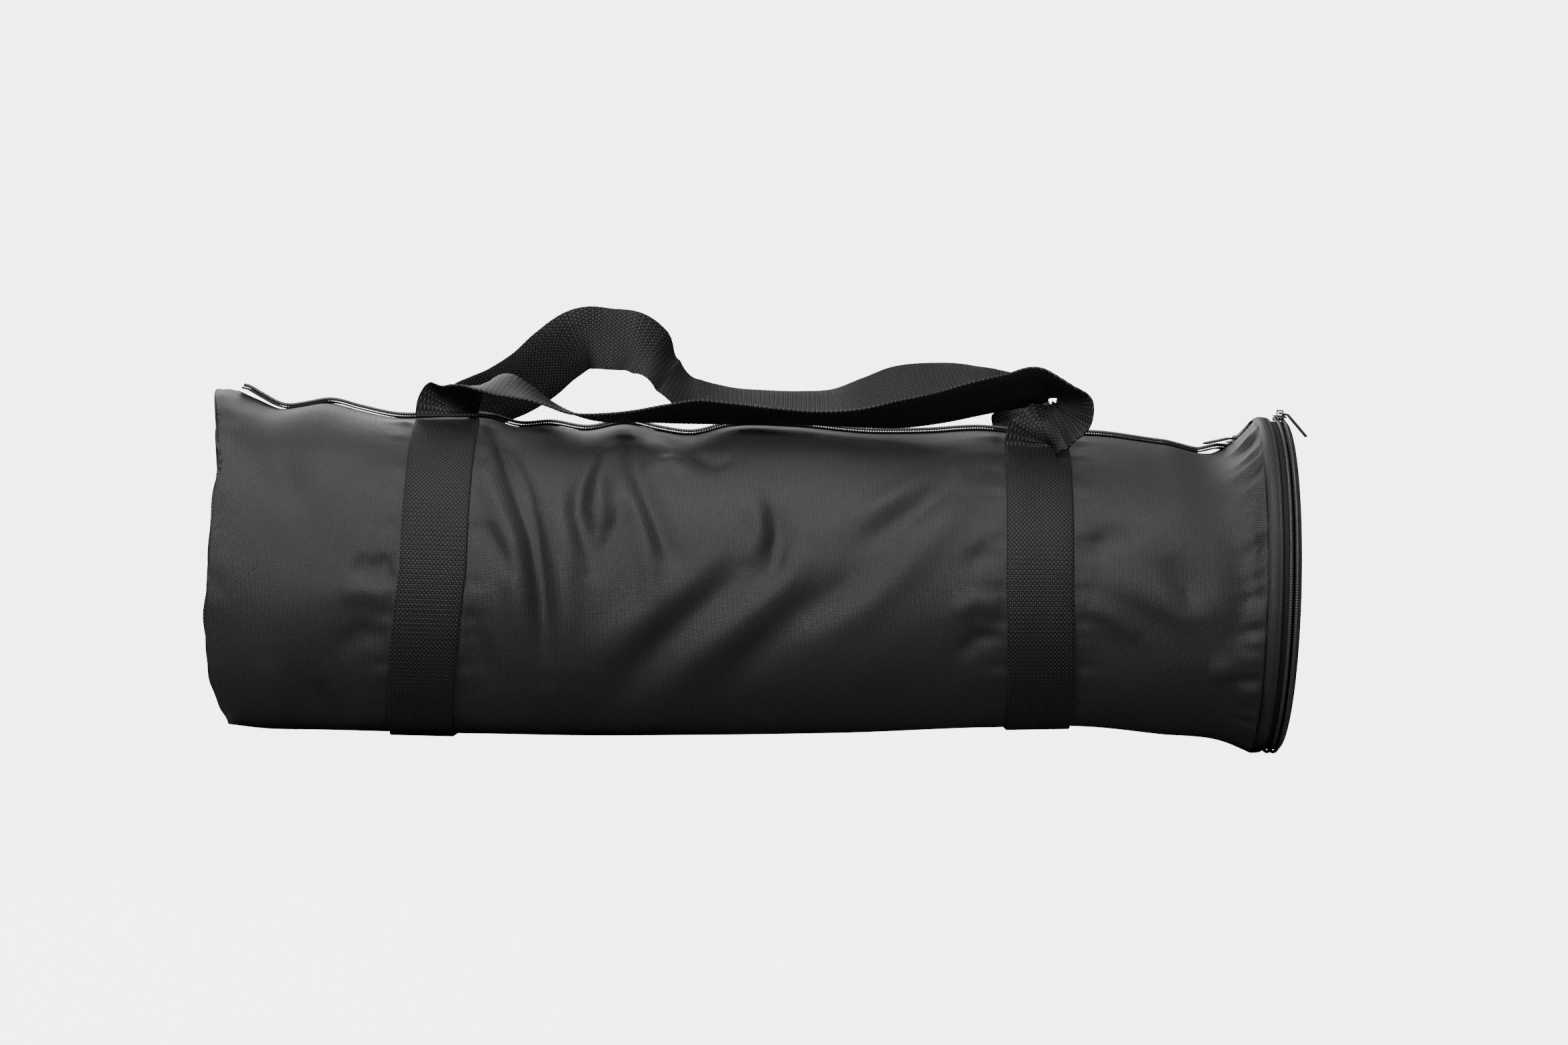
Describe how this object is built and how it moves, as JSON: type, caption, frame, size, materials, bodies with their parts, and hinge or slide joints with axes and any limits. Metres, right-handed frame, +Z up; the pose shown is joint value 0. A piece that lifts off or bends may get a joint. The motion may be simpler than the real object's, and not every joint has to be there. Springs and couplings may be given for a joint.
{
  "type": "telescope carry case",
  "caption": "Soft cylindrical carry case with a round zipped end door, a zip along the top, webbing bands and webbing carry handles.",
  "frame": {"origin": "centre of the bounding box in X and Y, on the plane the case rests on", "axes": "+X along the case towards the round door with the end zip, +Z up to the carrying side, -Y the front"},
  "size_m": [0.6517, 0.2096, 0.2639],
  "materials": {
    "cloth": "matte coated polyester weave",
    "foam": "closed-cell foam, lined",
    "webbing": "ribbed polyester webbing",
    "tape": "woven zip tape",
    "coil": "nylon coil teeth",
    "metal": "gunmetal plating",
    "grey": "light grey zip end"
  },
  "bodies": {
    "case": {"body_shell": "cloth", "body_padding": "foam", "left_end_panel": "cloth", "left_end_padding": "foam", "right_gusset": "cloth", "end_zip_tape_body": "tape", "end_zip_coil_body": "coil", "hinge_cloth_body": "cloth", "end_zip_stop_rear": "metal", "end_zip_stop_top": "metal", "top_zip_tape_front": "tape", "top_zip_tape_rear": "tape", "top_zip_coil_front": "coil", "top_zip_coil_rear": "coil", "top_zip_stop": "metal", "zip_end_tab": "grey", "left_band": "webbing", "right_band": "webbing"},
    "door": {"door_panel": "cloth", "door_padding": "foam", "end_zip_tape_door": "tape", "end_zip_coil_door": "coil", "hinge_cloth_door": "cloth"},
    "top_slider": {"top_zip_slider": "metal"},
    "top_pull": {"top_pull_tab": "metal"},
    "end_slider": {"end_zip_slider": "metal"},
    "end_pull": {"end_pull_tab": "metal"},
    "front_handle": {"front_handle": "webbing"},
    "rear_handle": {"rear_handle": "webbing"}
  },
  "joints": [
    {"name": "door_swing", "type": "hinge", "parent": "case", "child": "door", "pos_m": [0.3112, 0.07255, 0.17353], "axis": [0, -0.7071, 0.7071], "range_deg": [0, 110]},
    {"name": "top_slider_travel", "type": "slide", "parent": "case", "child": "top_slider", "axis": [-0.9999, 0, 0.0155], "range_m": [0, 0.56]},
    {"name": "top_pull_swing", "type": "hinge", "parent": "top_slider", "child": "top_pull", "pos_m": [0.28507, 0, 0.18848], "axis": [-0.4633, 0.8862, 0], "range_deg": [0, 120]},
    {"name": "end_slider_travel", "type": "hinge", "parent": "door", "child": "end_slider", "pos_m": [0.3094, 0, 0.10098], "axis": [1, 0, 0], "range_deg": [0, 245]},
    {"name": "end_pull_swing", "type": "hinge", "parent": "end_slider", "child": "end_pull", "pos_m": [0.3094, -0.01447, 0.20397], "axis": [0, -1, 0], "range_deg": [0, 120]},
    {"name": "front_handle_swing", "type": "hinge", "parent": "case", "child": "front_handle", "pos_m": [-0.1855, -0.0311, 0.189], "axis": [0.9986, -0.0444, -0.0295], "range_deg": [0, 38]},
    {"name": "rear_handle_swing", "type": "hinge", "parent": "case", "child": "rear_handle", "pos_m": [-0.1855, 0.0466, 0.1833], "axis": [-0.9999, 0, 0.0103], "range_deg": [0, 58]}
  ]
}
